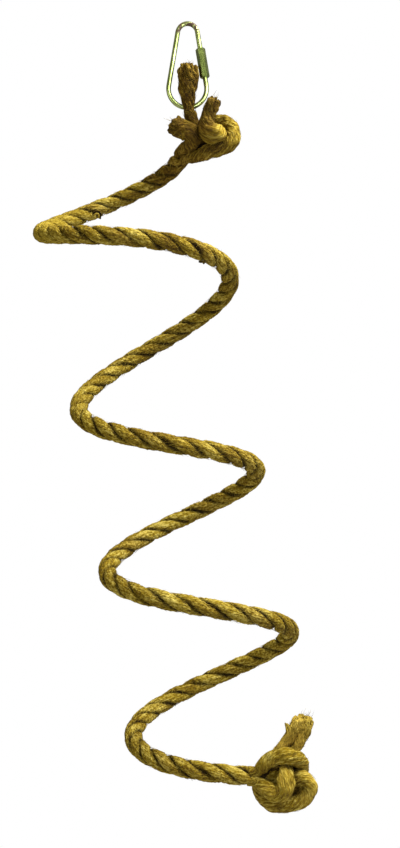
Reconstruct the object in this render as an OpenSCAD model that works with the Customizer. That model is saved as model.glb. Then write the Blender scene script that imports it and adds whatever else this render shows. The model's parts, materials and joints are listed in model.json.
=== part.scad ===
// Spiral rope perch for a cage bird. A pear-shaped quick link carries it: the link's wire
// passes through an eye in one of the rope's three opened strands. A head knot ties the
// strands, a left-handed coil of laid rope round a wire core is the perch, and a foot knot
// ends it, with the three strand ends gathered into one tail.
// The origin is inside the top of the link, where a hook bears. Z is up, X runs to the
// right and Y away from someone who looks at the perch from the front.

/* [Quick link] */
// Thickness of the link's wire
link_wire_d = 3.5; // [2.5:0.1:4.5]
// Centre line radius of the narrow bow, which hangs on a hook
top_bow_r = 7.2; // [6:0.1:10]
// Centre line radius of the wide bow, which carries the rope
low_bow_r = 13.8; // [12:0.1:20]
// Distance between the centres of the two bows
bow_span = 40; // [38:1:60]
// Fixed threaded stub, from the wide bow up to the gap
gate_stub = 8.6; // [6:0.1:12]
// Gap in the wire that lets the rope in
gate_gap = 6.5; // [4:0.1:8]
// Length of the sleeve nut that closes the gap
nut_length = 21.5; // [16:0.5:24]
// Sleeve nut across its flats
nut_flats = 6.2; // [5.5:0.1:8]
// Part of the stub that the closed nut holds
nut_grip = 3; // [1:0.1:5]
// Clearance between the wire and the nut's bore
nut_clearance = 0.15; // [0.1:0.05:0.3]
// Slope cut off the corners at both ends of the nut
nut_chamfer = 0.7; // [0.3:0.1:1]

/* [Rope] */
// Thickness of the laid rope
rope_d = 12.7; // [9:0.1:16]
// Thickness of the steel wire that keeps the rope in its coil
core_wire_d = 2; // [1:0.1:3]
// Room between the core wire and the strands laid round it
core_clearance = 0.35; // [0.3:0.05:0.6]
// Thickness of a strand where it is opened in a knot
strand_d = 8.4; // [6:0.1:9.5]
// Space between the rope's cut end and the strands that open from it
opening_clearance = 0.4; // [0.2:0.05:0.5]
// Space between the link's wire and the strand's eye
eye_clearance = 0.3; // [0.2:0.05:0.5]

/* [Coil] */
// Centre line radius of the coil
coil_radius = 63.5; // [50:0.5:90]
// Advance of the coil in one turn, along its own axis
coil_pitch = 123; // [80:1:160]
// Number of turns between the two knots
coil_turns = 3.67; // [1.5:0.01:5]
// Lean of the coil's axis, which hangs from its rim
coil_lean_angle = 10; // [0:1:20]
// Angle round the axis at which the coil starts, from its right
coil_start_angle = 34; // [20:1:60]

/* [Hidden] */

// The link
bow_slant = asin((low_bow_r - top_bow_r) / bow_span);
limb_length = bow_span * cos(bow_slant);
top_bow_z = link_wire_d / 2 - top_bow_r;
low_bow_z = top_bow_z - bow_span;
hinge_z = low_bow_z - low_bow_r;
nut_seat = gate_stub - nut_grip;
wire_chamfer_share = 0.15;
// The wire is drawn a little thinner round the bows, and the limbs run on into them
bow_draw_share = 0.012;
limb_lap_share = 0.14;
limb_lap = link_wire_d * limb_lap_share;
wire_facet_count = 32;
bow_facet_count = 64;

// Turned sides of the rope, its core and its strands
rope_sides = 6;
strand_sides = 10;
turn_ring_count = 24;
step_ring_count = 3;
turn_gap_ring_count = 12;

// Each quarter turn's drop, as a share of an even quarter, and the coil's radius at the
// start of each quarter, as a share of coil_radius. Hand-bent rope is never quite even.
drop_shares = [
    0.55, 0.95, 0.72, 1.1, 1.1, 1.35, 1.15, 1.02,
    0.95, 0.72, 0.84, 1.42, 1.28, 0.4, 0.7, 1.08
];
radius_shares = [
    0.72, 0.93, 1.03, 1.03, 1.02, 0.98, 0.96, 0.94,
    0.92, 0.93, 0.96, 0.98, 0.99, 0.99, 0.99, 1
];

// A laid strand's thickness as a share of the rope's
laid_share = 0.42;
// Where the rope ends in the head knot, from the bottom of the link, in opened strands
head_seat_shares = [-0.35, 2.6, -3.5];
// Where the first strand lies in the rope's end, from its top, at the head and at the foot
head_lay_angle = 60;
foot_lay_angle = 15;
// How far the strands run on straight from the rope's end, as a share of its thickness
opening_share = 0.26;

// Routes of the opened strands, in opened strands: at the head from the bottom of the
// link, and at the foot from the rope's end. Each has its thickness at every point, with
// the two points in the rope's end first.
eye_route_shares = [
    [0.15, 1.75, -4], [0.75, 0.8, -4.05], [1.55, 0.1, -3.88], [2.4, -0.15, -3.62],
    [3.25, -0.25, -3.48], [3.9, -0.3, -2.92], [3.95, -0.2, -2], [3.45, 0, -1.25],
    [2.65, 0.35, -1], [2, 1.05, -1.1], [1.6, 1.4, -1.6], [1.1, 0.65, -2.3],
    [0.62, 0.15, -1.7], [0.25, 0, -0.75], [0.1, -0.05, 0.3], [0, -0.15, 1.4],
    [0.05, -0.3, 2.4], [0.1, -0.4, 3.05]
];
eye_width_shares = [
    0.64, 0.66, 0.84, 0.98, 1.1, 1.14, 1.16, 1.2, 1.22, 1.2, 1.1, 1, 0.94, 0.92, 0.98,
    1.1, 0.88, 1.5, 1.6, 1.62
];
left_route_shares = [
    [-0.15, 1.4, -3.15], [0.3, 0.45, -3.1], [0.45, -0.5, -3], [0.42, -1, -2.45],
    [-0.05, -0.85, -2.15], [-0.6, -0.65, -1.95], [-1.1, -0.6, -1.65]
];
left_width_shares = [
    0.64, 0.66, 0.86, 1, 1.14, 1.2, 1.26, 1.42, 1.5
];
right_route_shares = [
    [0.75, 1.75, -3.1], [1.45, 1.45, -2.95], [2.3, 1, -2.6], [2.8, 0, -2.2],
    [2.65, -1.1, -2.4], [2, -1.75, -2.8], [1.6, -1.5, -1.95], [1.75, -1.48, -1.08],
    [2.02, -1.62, -0.42], [2.18, -1.72, 0]
];
right_width_shares = [
    0.64, 0.66, 0.8, 0.9, 0.96, 0.94, 1.18, 1.42, 1.2, 1.1, 1.14, 1.2
];
over_route_shares = [
    [0.85, -0.2, 1], [1.65, -0.65, 1.72], [2.5, -1.05, 2], [3.4, -0.82, 1.75],
    [4.02, 0.02, 1.14], [4.08, 1, 0.32], [3.95, 1.35, -0.6], [3.75, 0.8, -1.15],
    [3.3, 0.2, -1.2], [2.8, 0.55, -1], [2.6, 1.3, -0.4], [2.55, 1.8, 0.4],
    [2.75, 1.8, 1.3], [3.2, 1.7, 2.3], [3.7, 1.6, 3.3], [4.2, 1.5, 4.25]
];
over_width_shares = [
    0.64, 0.66, 0.94, 1.12, 1.28, 1.2, 1.08, 1, 0.96, 0.9, 0.86, 0.86, 0.9, 1, 0.96,
    0.9, 0.9, 0.86
];
under_route_shares = [
    [0.65, 0.35, -1.05], [1, 0.1, -1.7], [1.7, -0.15, -2.2], [2.6, -0.3, -2.28],
    [3.5, -0.45, -2.02], [4.25, -0.55, -1.6], [4.65, -0.6, -0.85], [4.45, -0.65, -0.15],
    [3.8, -0.5, 0.05], [3, -0.03, -0.18], [2.15, 0.05, -0.25], [1.45, 0.2, -0.2],
    [1.3, 0.75, 0.45], [1.72, 0.95, 1.3], [2.35, 0.75, 2], [3, 0.6, 2.95],
    [3.65, 0.55, 3.95]
];
under_width_shares = [
    0.64, 0.66, 0.96, 1.16, 1.2, 1.2, 1.16, 1.14, 1.16, 1.14, 1.08, 0.98, 1.02, 1.02,
    0.94, 0.9, 0.9, 0.88, 0.86
];
front_route_shares = [
    [1.02, -0.92, -0.62], [1.55, -1.35, -1], [2.15, -1.55, -1.08], [2.6, -1.65, -0.5],
    [2.6, -1.55, 0.2], [2.63, -0.85, 0.69], [2.8, 0.24, 0.9], [3.18, 0.8, 1.62],
    [3.98, 0.74, 2.7], [4.85, 0.72, 4.12]
];
front_width_shares = [
    0.64, 0.66, 0.92, 1.08, 1.14, 1.2, 1.18, 0.98, 0.84, 0.86, 0.86, 0.86
];
// Rounded end of a tail: how far each ring lies past it and its radius, in end radii
tail_round_shares = [[0.3, 0.93], [0.55, 0.75], [0.72, 0.45]];

// A smooth curve through a list of numbers or points, near each of them in turn
function list_at(list, i) =
    i < 0 ? 2 * list[0] - list[1] :
    i >= len(list) ? 2 * list[len(list) - 1] - list[len(list) - 2] : list[i];
function spline_mix(a, b, c, d, f) =
    (pow(1 - f, 3) * a + (3 * pow(f, 3) - 6 * f * f + 4) * b
        + (3 * f * f - 3 * pow(f, 3) + 3 * f + 1) * c + pow(f, 3) * d) / 6;
function eased(list, t) =
    let (i = max(0, min(len(list) - 2, floor(t))))
    spline_mix(list_at(list, i - 1), list[i], list[i + 1], list_at(list, i + 2), t - i);

// Directions and rings along a route
function unit(v) = v / norm(v);
function heading(path, i) =
    unit(path[min(i + 1, len(path) - 1)] - path[max(i - 1, 0)]);
function squared(side, along) = unit(side - along * (side * along));
function carried_sides(path, first) = [
    for (i = 0, side = squared(first, heading(path, 0)); i < len(path);
        i = i + 1,
        side = i < len(path) ? squared(side, heading(path, i)) : side) side
];
function ring_points(centre, along, side, radius, sides) = [
    for (k = [0 : sides - 1])
        let (turn = 360 * k / sides)
        centre + radius * (cos(turn) * side + sin(turn) * cross(along, side))
];
function route_rings(path, radii, sides, first) =
    let (side_list = carried_sides(path, first))
    [for (i = [0 : len(path) - 1])
        each ring_points(path[i], heading(path, i), side_list[i], radii[i], sides)];
function wall_faces(rings, sides, start, outward) = [
    for (i = [0 : rings - 2], k = [0 : sides - 1])
        let (
            a = start + i * sides + k,
            b = start + i * sides + (k + 1) % sides,
            c = b + sides,
            d = a + sides
        )
        each outward ? [[a, d, c], [a, c, b]] : [[a, c, d], [a, b, c]]
];
function disc_faces(start, sides, outward) = [
    for (k = [1 : sides - 2])
        outward ? [start, start + k + 1, start + k] : [start, start + k, start + k + 1]
];
function washer_faces(outer, inner, sides, outward) = [
    for (k = [0 : sides - 1])
        let (m = (k + 1) % sides)
        each outward ?
            [[outer + k, inner + k, inner + m], [outer + k, inner + m, outer + m]] :
            [[outer + k, outer + m, inner + m], [outer + k, inner + m, inner + k]]
];

// A solid tube along a route, with its own radius at each point
module solid_tube(path, radii, sides, first) {
    last = (len(path) - 1) * sides;
    polyhedron(
        points = route_rings(path, radii, sides, first),
        faces = concat(
            wall_faces(len(path), sides, 0, true),
            disc_faces(0, sides, false),
            disc_faces(last, sides, true)
        ),
        convexity = 10
    );
}

// A tube along a route with a channel through it
module hollow_tube(path, radius, channel_radius, sides, first) {
    count = len(path);
    inner = count * sides;
    last = (count - 1) * sides;
    polyhedron(
        points = concat(
            route_rings(path, [for (p = path) radius], sides, first),
            route_rings(path, [for (p = path) channel_radius], sides, first)
        ),
        faces = concat(
            wall_faces(count, sides, 0, true),
            wall_faces(count, sides, inner, false),
            washer_faces(0, inner, sides, false),
            washer_faces(last, inner + last, sides, true)
        ),
        convexity = 10
    );
}

// The coil's centre line, from angles round its axis
coil_end = coil_start_angle + 360 * coil_turns;
quarter_count = ceil(coil_end / 90) + 1;
function drop_share(i) = drop_shares[min(i, len(drop_shares) - 1)];
quarter_drops = [
    for (i = 0, drop = 0; i <= quarter_count; drop = drop + drop_share(i), i = i + 1) drop
];
quarter_radii = [
    for (i = [0 : quarter_count]) radius_shares[min(i, len(radius_shares) - 1)]
];
coil_right = [cos(coil_lean_angle), 0, sin(coil_lean_angle)];
coil_back = [0, 1, 0];
coil_down = [sin(coil_lean_angle), 0, -cos(coil_lean_angle)];
function coil_offset(angle) =
    coil_radius * eased(quarter_radii, angle / 90)
        * (cos(angle) * coil_right + sin(angle) * coil_back)
    + coil_pitch / 4 * eased(quarter_drops, angle / 90) * coil_down;
ring_turn = 360 / turn_ring_count;
function coil_heading(angle) =
    unit(coil_offset(angle + ring_turn / 2) - coil_offset(angle - ring_turn / 2));
head_eye = [0, 0, hinge_z];
head_seat = head_eye + strand_d * head_seat_shares;
coil_axis_top = head_seat + rope_d * coil_heading(coil_start_angle) - coil_offset(coil_start_angle);
ring_count = ceil(coil_turns * turn_ring_count);
coil_line = [
    for (i = [0 : ring_count])
        coil_axis_top + coil_offset(coil_start_angle + (coil_end - coil_start_angle) * i / ring_count)
];
foot_seat = coil_line[ring_count] + rope_d * coil_heading(coil_end);
// Both ends run straight for one thickness of the rope
rope_line = concat([head_seat], coil_line, [foot_seat]);
rope_up = [0, 0, 1];

// Least distance between two turns of the rope, less its thickness
turn_gaps = [
    for (i = [0 : len(rope_line) - 1], j = [0 : len(rope_line) - 1])
        if (j - i > turn_gap_ring_count) norm(rope_line[i] - rope_line[j]) - rope_d
];
echo("least gap between two turns of the rope", min(turn_gaps));
echo("length of the laid rope", len_of(rope_line));
function len_of(path) =
    len(path) < 2 ? 0 : sum_of([for (i = [1 : len(path) - 1]) norm(path[i] - path[i - 1])]);
function sum_of(list) = list * [for (item = list) 1];

// Route of an opened strand: two points in the rope's end, then its own
laid_d = rope_d * laid_share;
laid_offset = (rope_d - laid_d) / 2;
function strand_points(seat, along, lay_angle, anchor, shares) =
    let (
        up = squared(rope_up, along),
        spoke = laid_offset * (cos(lay_angle) * up + sin(lay_angle) * cross(along, up)),
        start = seat + spoke + opening_clearance * along
    )
    concat(
        [start, start + opening_share * rope_d * along],
        [for (share = shares) anchor + strand_d * share]
    );
function strand_line(points) = [
    for (i = [0 : (len(points) - 1) * step_ring_count])
        eased(points, i / step_ring_count)
];
function strand_radii(widths) =
    let (
        opened = [for (i = [2 : len(widths) - 1]) strand_d * widths[i] / 2],
        all = concat([laid_d / 2, laid_d / 2 * widths[1] / widths[0]], opened)
    )
    [for (i = [0 : (len(all) - 1) * step_ring_count]) eased(all, i / step_ring_count)];

// An opened strand with a rounded end
module opened_strand(seat, along, lay_angle, anchor, shares, widths) {
    line = strand_line(strand_points(seat, along, lay_angle, anchor, shares));
    radii = strand_radii(widths);
    tip = line[len(line) - 1];
    tip_radius = radii[len(radii) - 1];
    out = heading(line, len(line) - 1);
    solid_tube(
        concat(line, [for (s = tail_round_shares) tip + s[0] * tip_radius * out]),
        concat(radii, [for (s = tail_round_shares) s[1] * tip_radius]),
        strand_sides,
        squared(rope_up, along)
    );
}
module head_strand(place, shares, widths) {
    opened_strand(
        head_seat, -coil_heading(coil_start_angle), head_lay_angle + 120 * place, head_eye,
        shares, widths
    );
}
module foot_strand(place, shares, widths) {
    opened_strand(
        foot_seat, coil_heading(coil_end), foot_lay_angle + 120 * place, foot_seat,
        shares, widths
    );
}

// Places on the link
module on_low_tangent() {
    translate([low_bow_r * cos(bow_slant), 0, low_bow_z + low_bow_r * sin(bow_slant)])
        rotate([0, -bow_slant, 0])
            children();
}
module bow(radius, start, sweep) {
    rotate([90, 0, 0])
        rotate([0, 0, start])
            rotate_extrude(angle = sweep, $fn = bow_facet_count)
                translate([radius, 0])
                    circle(
                        d = link_wire_d * (1 - 2 * bow_draw_share), $fn = wire_facet_count
                    );
}
module limb_wire(from, to) {
    translate([0, 0, from])
        cylinder(h = to - from, d = link_wire_d, $fn = wire_facet_count);
}

// Bent wire of the link, with the gap that its nut closes
module link_body() {
    chamfer = link_wire_d * wire_chamfer_share;
    end_d = link_wire_d - 2 * chamfer;
    color("silver")
        union() {
            translate([0, 0, top_bow_z])
                bow(top_bow_r, bow_slant, 180 - 2 * bow_slant);
            translate([0, 0, low_bow_z])
                bow(low_bow_r, 180 - bow_slant, 180 + 2 * bow_slant);
            mirror([1, 0, 0])
                on_low_tangent()
                    limb_wire(-limb_lap, limb_length + limb_lap);
            on_low_tangent() {
                limb_wire(-limb_lap, gate_stub - chamfer);
                translate([0, 0, gate_stub - chamfer])
                    cylinder(h = chamfer, d1 = link_wire_d, d2 = end_d, $fn = wire_facet_count);
                translate([0, 0, gate_stub + gate_gap])
                    cylinder(h = chamfer, d1 = end_d, d2 = link_wire_d, $fn = wire_facet_count);
                limb_wire(gate_stub + gate_gap + chamfer, limb_length + limb_lap);
            }
        }
}

// Six-sided sleeve nut over the gap, with its corners turned off at both ends
module link_nut() {
    corners_d = nut_flats / cos(30);
    color("lightgray")
        on_low_tangent()
            translate([0, 0, nut_seat])
                difference() {
                    intersection() {
                        cylinder(h = nut_length, d = corners_d, $fn = 6);
                        rotate_extrude($fn = bow_facet_count)
                            polygon([
                                [0, 0],
                                [corners_d / 2 - nut_chamfer, 0],
                                [corners_d / 2, nut_chamfer],
                                [corners_d / 2, nut_length - nut_chamfer],
                                [corners_d / 2 - nut_chamfer, nut_length],
                                [0, nut_length]
                            ]);
                    }
                    translate([0, 0, -nut_chamfer])
                        cylinder(
                            h = nut_length + 2 * nut_chamfer,
                            d = link_wire_d + 2 * nut_clearance, $fn = wire_facet_count
                        );
                }
}

// Room that the wide bow needs as the strand swings on it, turned about the hinge line
module eye_room() {
    bow_inside = low_bow_r - link_wire_d / 2 - eye_clearance;
    translate(head_eye)
        rotate([0, 90, 0])
            rotate_extrude($fn = bow_facet_count)
                difference() {
                    translate([0, -bow_inside])
                        square([low_bow_r, 2 * bow_inside]);
                    translate([low_bow_r, 0])
                        circle(r = bow_inside, $fn = bow_facet_count);
                }
}

// Strand that makes the big bight, comes up through the knot and takes the link in its eye
module head_strand_eye() {
    color("saddlebrown")
        difference() {
            head_strand(1, eye_route_shares, eye_width_shares);
            eye_room();
        }
}

// Strand that turns off to the left, with its cut end free
module head_strand_left() {
    color("peru") head_strand(0, left_route_shares, left_width_shares);
}

// Strand that bulges through the bight and ends upright on the right
module head_strand_right() {
    color("goldenrod") head_strand(2, right_route_shares, right_width_shares);
}

// Steel wire inside the laid rope
module core_wire() {
    color("dimgray")
        solid_tube(rope_line, [for (p = rope_line) core_wire_d / 2], rope_sides, rope_up);
}

// The laid rope itself, without its lay
module rope_coil() {
    color("darkgoldenrod")
        hollow_tube(
            rope_line, rope_d / 2, core_wire_d / 2 + core_clearance, rope_sides, rope_up
        );
}

// Strand that arches over the front of the foot knot and turns down behind it
module foot_strand_over() {
    color("goldenrod") foot_strand(0, over_route_shares, over_width_shares);
}

// Strand that rounds the bottom and the right side, passes behind and rises on the left
module foot_strand_under() {
    color("darkgoldenrod") foot_strand(2, under_route_shares, under_width_shares);
}

// Strand that turns up the middle of the front and rises through the arch
module foot_strand_front() {
    color("peru") foot_strand(1, front_route_shares, front_width_shares);
}

link_body();
link_nut();
head_strand_eye();
head_strand_left();
head_strand_right();
core_wire();
rope_coil();
foot_strand_over();
foot_strand_under();
foot_strand_front();
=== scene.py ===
import json
import math

import bpy
import numpy as np
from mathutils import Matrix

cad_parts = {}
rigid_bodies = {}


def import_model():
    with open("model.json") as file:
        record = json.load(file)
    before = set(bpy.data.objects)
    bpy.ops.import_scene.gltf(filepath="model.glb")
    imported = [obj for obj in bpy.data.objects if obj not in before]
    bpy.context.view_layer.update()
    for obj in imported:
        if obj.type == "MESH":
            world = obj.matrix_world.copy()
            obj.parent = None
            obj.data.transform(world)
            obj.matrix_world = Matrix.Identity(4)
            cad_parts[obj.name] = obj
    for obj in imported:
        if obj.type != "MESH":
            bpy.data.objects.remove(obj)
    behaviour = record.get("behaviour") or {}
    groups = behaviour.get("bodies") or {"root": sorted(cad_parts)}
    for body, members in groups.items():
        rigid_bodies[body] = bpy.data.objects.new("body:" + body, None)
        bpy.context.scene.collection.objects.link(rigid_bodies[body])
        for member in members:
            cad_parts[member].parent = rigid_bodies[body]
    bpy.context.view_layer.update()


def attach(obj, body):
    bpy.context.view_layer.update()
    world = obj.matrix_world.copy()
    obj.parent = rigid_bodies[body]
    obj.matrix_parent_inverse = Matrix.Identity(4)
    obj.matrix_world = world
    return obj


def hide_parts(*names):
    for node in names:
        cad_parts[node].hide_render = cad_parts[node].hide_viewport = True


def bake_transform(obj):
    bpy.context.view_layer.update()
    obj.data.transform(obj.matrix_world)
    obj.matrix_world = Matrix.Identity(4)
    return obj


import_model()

# Studio
# The perch hangs in front of a white sweep. A camera on its level sees it from the front,
# and a large soft lamp hangs high on the right, so that the undersides fall into shade.
camera_place = (0.00905, -0.9075, -0.2889)
focal_length_px = 1250
picture_height_px = 848
sensor_height_mm = 24

lens = bpy.data.cameras.new("camera")
lens.sensor_fit = 'VERTICAL'
lens.sensor_height = sensor_height_mm
lens.lens = sensor_height_mm * (focal_length_px / picture_height_px)
camera = bpy.data.objects.new("camera", lens)
camera.location = camera_place
camera.rotation_euler = (math.radians(90), 0, 0)
bpy.context.scene.collection.objects.link(camera)
bpy.context.scene.camera = camera
bpy.context.scene.view_settings.view_transform = "Standard"


def soft_lamp(name, place, aim, width, watts, colour):
    """A round lamp at a place, turned to face a point."""
    glow = bpy.data.lights.new(name, 'AREA')
    glow.shape = 'DISK'
    glow.size = width
    glow.energy = watts
    glow.color = colour
    lamp = bpy.data.objects.new(name, glow)
    lamp.location = place
    away = np.array(place, float) - np.array(aim, float)
    flat = math.hypot(away[0], away[1])
    lamp.rotation_euler = (math.atan2(flat, away[2]), 0, math.atan2(away[0], -away[1]))
    bpy.context.scene.collection.objects.link(lamp)
    return lamp


soft_lamp(
    "lamp_high", (0.62, -0.25, 0.85), aim=(0, 0, -0.28), width=1.0, watts=47,
    colour=(1, 0.97, 0.88),
)
soft_lamp(
    "lamp_left", (-1.0, -0.9, -0.2), aim=(0, 0, -0.3), width=0.8, watts=4,
    colour=(1, 0.98, 0.88),
)
# A white card beside the camera shows only as a gleam in the metal
card = soft_lamp(
    "white_card", (0.6, -0.85, 0.0), aim=(0, 0, -0.03), width=1.1, watts=24,
    colour=(1, 1, 0.94),
)
card.visible_diffuse = False


def for_camera(tree, lit, seen, surface):
    """The camera sees one shader, and the other lights the scene and shows in the metal."""
    ray = tree.nodes.new("ShaderNodeLightPath")
    choice = tree.nodes.new("ShaderNodeMixShader")
    tree.links.new(ray.outputs["Is Camera Ray"], choice.inputs[0])
    tree.links.new(lit.outputs[0], choice.inputs[1])
    tree.links.new(seen.outputs[0], choice.inputs[2])
    tree.links.new(choice.outputs[0], surface.inputs["Surface"])


sweep = bpy.data.worlds.new("white sweep")
bpy.context.scene.world = sweep
sweep.use_nodes = True
sky = sweep.node_tree
sky.nodes.clear()
white = sky.nodes.new("ShaderNodeBackground")
white.inputs["Color"].default_value = (1, 1, 1, 1)
warm = sky.nodes.new("ShaderNodeBackground")
warm.inputs["Color"].default_value = (1, 0.96, 0.82, 1)
warm.inputs["Strength"].default_value = 0.25
for_camera(sky, warm, white, sky.nodes.new("ShaderNodeOutputWorld"))

bpy.ops.object.select_all(action='DESELECT')
bpy.ops.mesh.primitive_plane_add(size=1, location=(0, -1.2, -1.2))
floor = bpy.context.object
floor.name = "floor"
floor.scale = (7, 5.6, 1)
bpy.ops.object.transform_apply(location=True, rotation=True, scale=True)
card_stock = bpy.data.materials.new("white card stock")
card_stock.use_nodes = True
ground = card_stock.node_tree
matt = ground.nodes["Principled BSDF"]
matt.inputs["Specular IOR Level"].default_value = 0.0
pale = ground.nodes.new("ShaderNodeEmission")
pale.inputs["Color"].default_value = (0.92, 0.92, 0.91, 1)
for_camera(ground, matt, pale, ground.nodes["Material Output"])
floor.data.materials.append(card_stock)

# Laid rope
# Half-inch rope of three strands of coarse plant fibre, laid right-handed round a steel
# wire. It was bent round a former into a left-handed coil, which the wire keeps. The
# coil's line and sizes are those of the solid model, in metres.
MM = 0.001
rope_d = 12.7 * MM
lay_lengths = np.array([44, 45, 49, 53, 54, 56, 57, 55, 50]) * MM
strand_reach = 3.5 * MM
strand_high = 3.1 * MM
strand_wide = 4.05 * MM
end_radius = 2.8 * MM
strand_d = 8.4 * MM
coil_radius = 63.5 * MM
coil_pitch = 123 * MM
coil_turns = 3.67
coil_lean_angle = 10
coil_start_angle = 34
hinge_z = -59.25 * MM
# How far each quarter turn drops and how wide it runs, as shares of an even coil's
drop_shares = [
    0.55, 0.95, 0.72, 1.1, 1.1, 1.35, 1.15, 1.02,
    0.95, 0.72, 0.84, 1.42, 1.28, 0.4, 0.7, 1.08,
]
radius_shares = [
    0.72, 0.93, 1.03, 1.03, 1.02, 0.98, 0.96, 0.94,
    0.92, 0.93, 0.96, 0.98, 0.99, 0.99, 0.99, 1,
]
# Where the rope's end sits in the head knot, in strand diameters from the eye
head_seat_shares = [-0.35, 2.6, -3.5]
head_lay_angle = 60
foot_lay_angle = 15
ring_step = 1.19 * MM


def unit(v):
    v = np.asarray(v, float)
    return v / np.linalg.norm(v, axis=-1, keepdims=True)


def eased(values, t):
    """The solid model's smooth curve through a list of numbers or points."""
    values = np.asarray(values, float)
    t = np.atleast_1d(np.asarray(t, float))
    ends = [2 * values[:1] - values[1:2], values, 2 * values[-1:] - values[-2:-1]]
    run = np.concatenate(ends)
    i = np.clip(np.floor(t).astype(int), 0, len(values) - 2)
    f = (t - i).reshape((-1,) + (1,) * (values.ndim - 1))
    return (
        (1 - f) ** 3 * run[i] + (3 * f ** 3 - 6 * f * f + 4) * run[i + 1]
        + (3 * f * f - 3 * f ** 3 + 3 * f + 1) * run[i + 2] + f ** 3 * run[i + 3]
    ) / 6


coil_end = coil_start_angle + 360 * coil_turns
quarters = math.ceil(coil_end / 90) + 1
last_share = len(drop_shares) - 1
drops = [drop_shares[min(i, last_share)] for i in range(quarters)]
quarter_drops = np.concatenate([[0], np.cumsum(drops)])
quarter_radii = [radius_shares[min(i, last_share)] for i in range(quarters + 1)]
lean = math.radians(coil_lean_angle)
coil_right = np.array([math.cos(lean), 0, math.sin(lean)])
coil_back = np.array([0, 1, 0])
coil_down = np.array([math.sin(lean), 0, -math.cos(lean)])


def coil_offset(angle):
    """Where the coil's line lies from the middle of the coil's top, at an angle round it."""
    angle = np.atleast_1d(np.asarray(angle, float))
    turn = np.radians(angle)
    out = np.outer(np.cos(turn), coil_right) + np.outer(np.sin(turn), coil_back)
    reach = coil_radius * eased(quarter_radii, angle / 90)
    drop = coil_pitch / 4 * eased(quarter_drops, angle / 90)
    return reach[:, None] * out + np.outer(drop, coil_down)


def coil_heading(angle):
    return unit(coil_offset(angle + 7.5) - coil_offset(angle - 7.5))[0]


head_eye = np.array([0, 0, hinge_z])
head_seat = head_eye + strand_d * np.array(head_seat_shares)
coil_start = head_seat + rope_d * coil_heading(coil_start_angle)
coil_top = coil_start - coil_offset(coil_start_angle)[0]
foot_seat = coil_top + coil_offset(coil_end)[0] + rope_d * coil_heading(coil_end)


def even_steps(line, step):
    """Points at even distances along a line."""
    gone = np.concatenate([[0], np.cumsum(np.linalg.norm(np.diff(line, axis=0), axis=1))])
    count = max(2, int(round(gone[-1] / step)) + 1)
    at = np.linspace(0, gone[-1], count)
    return np.stack([np.interp(at, gone, line[:, k]) for k in range(3)], axis=1), at


def headings(line):
    """The direction in which a line runs at each of its points."""
    ahead = np.concatenate([line[1:], line[-1:]])
    behind = np.concatenate([line[:1], line[:-1]])
    return unit(ahead - behind)


def carried(line, first):
    """A side direction carried along a line without turning round it."""
    along = headings(line)
    side = np.array(first, float)
    sides = []
    for d in along:
        side = unit(side - d * (side @ d))
        sides.append(side)
    return along, np.array(sides)


coil_angles = np.linspace(coil_start_angle, coil_end, 3000)
rope_line = np.concatenate([[head_seat], coil_top + coil_offset(coil_angles), [foot_seat]])
rope_line, rope_at = even_steps(rope_line, ring_step)
rope_length = rope_at[-1]
up = np.array([0.0, 0.0, 1.0])
rope_along, rope_side = carried(rope_line, up)
rope_cross = np.cross(rope_along, rope_side)

# The strands leave the rope at the two knots where the opened strands take them up
last_up = unit(up - rope_along[-1] * (up @ rope_along[-1]))
end_turn = math.degrees(math.atan2(last_up @ rope_cross[-1], last_up @ rope_side[-1]))
lay_start = -head_lay_angle
wanted = end_turn + foot_lay_angle - lay_start
lay_places = np.linspace(0, 1, len(lay_lengths))
lay_rate = 360 / np.interp(rope_at / rope_length, lay_places, lay_lengths)
lay_steps = (lay_rate[1:] + lay_rate[:-1]) / 2 * np.diff(rope_at)
lay_run = np.concatenate([[0], np.cumsum(lay_steps)])
lay_turns = wanted + 120 * round((lay_run[-1] - wanted) / 120)
lay_run = lay_run * lay_turns / lay_run[-1]


def wave(rng, waves, *at):
    """Smooth unevenness between about -1 and 1, from a few sine waves. Waves is their number
    and, for each measure that they run over, the least and most radians in a unit of it."""
    total = 0
    for _ in range(waves[0]):
        phase = rng.uniform(0, 2 * math.pi)
        for value, (least, most) in zip(at, waves[1:]):
            phase = phase + value * rng.uniform(least, most) * rng.choice([-1, 1])
        total = total + np.sin(phase)
    return total / math.sqrt(waves[0])


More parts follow.
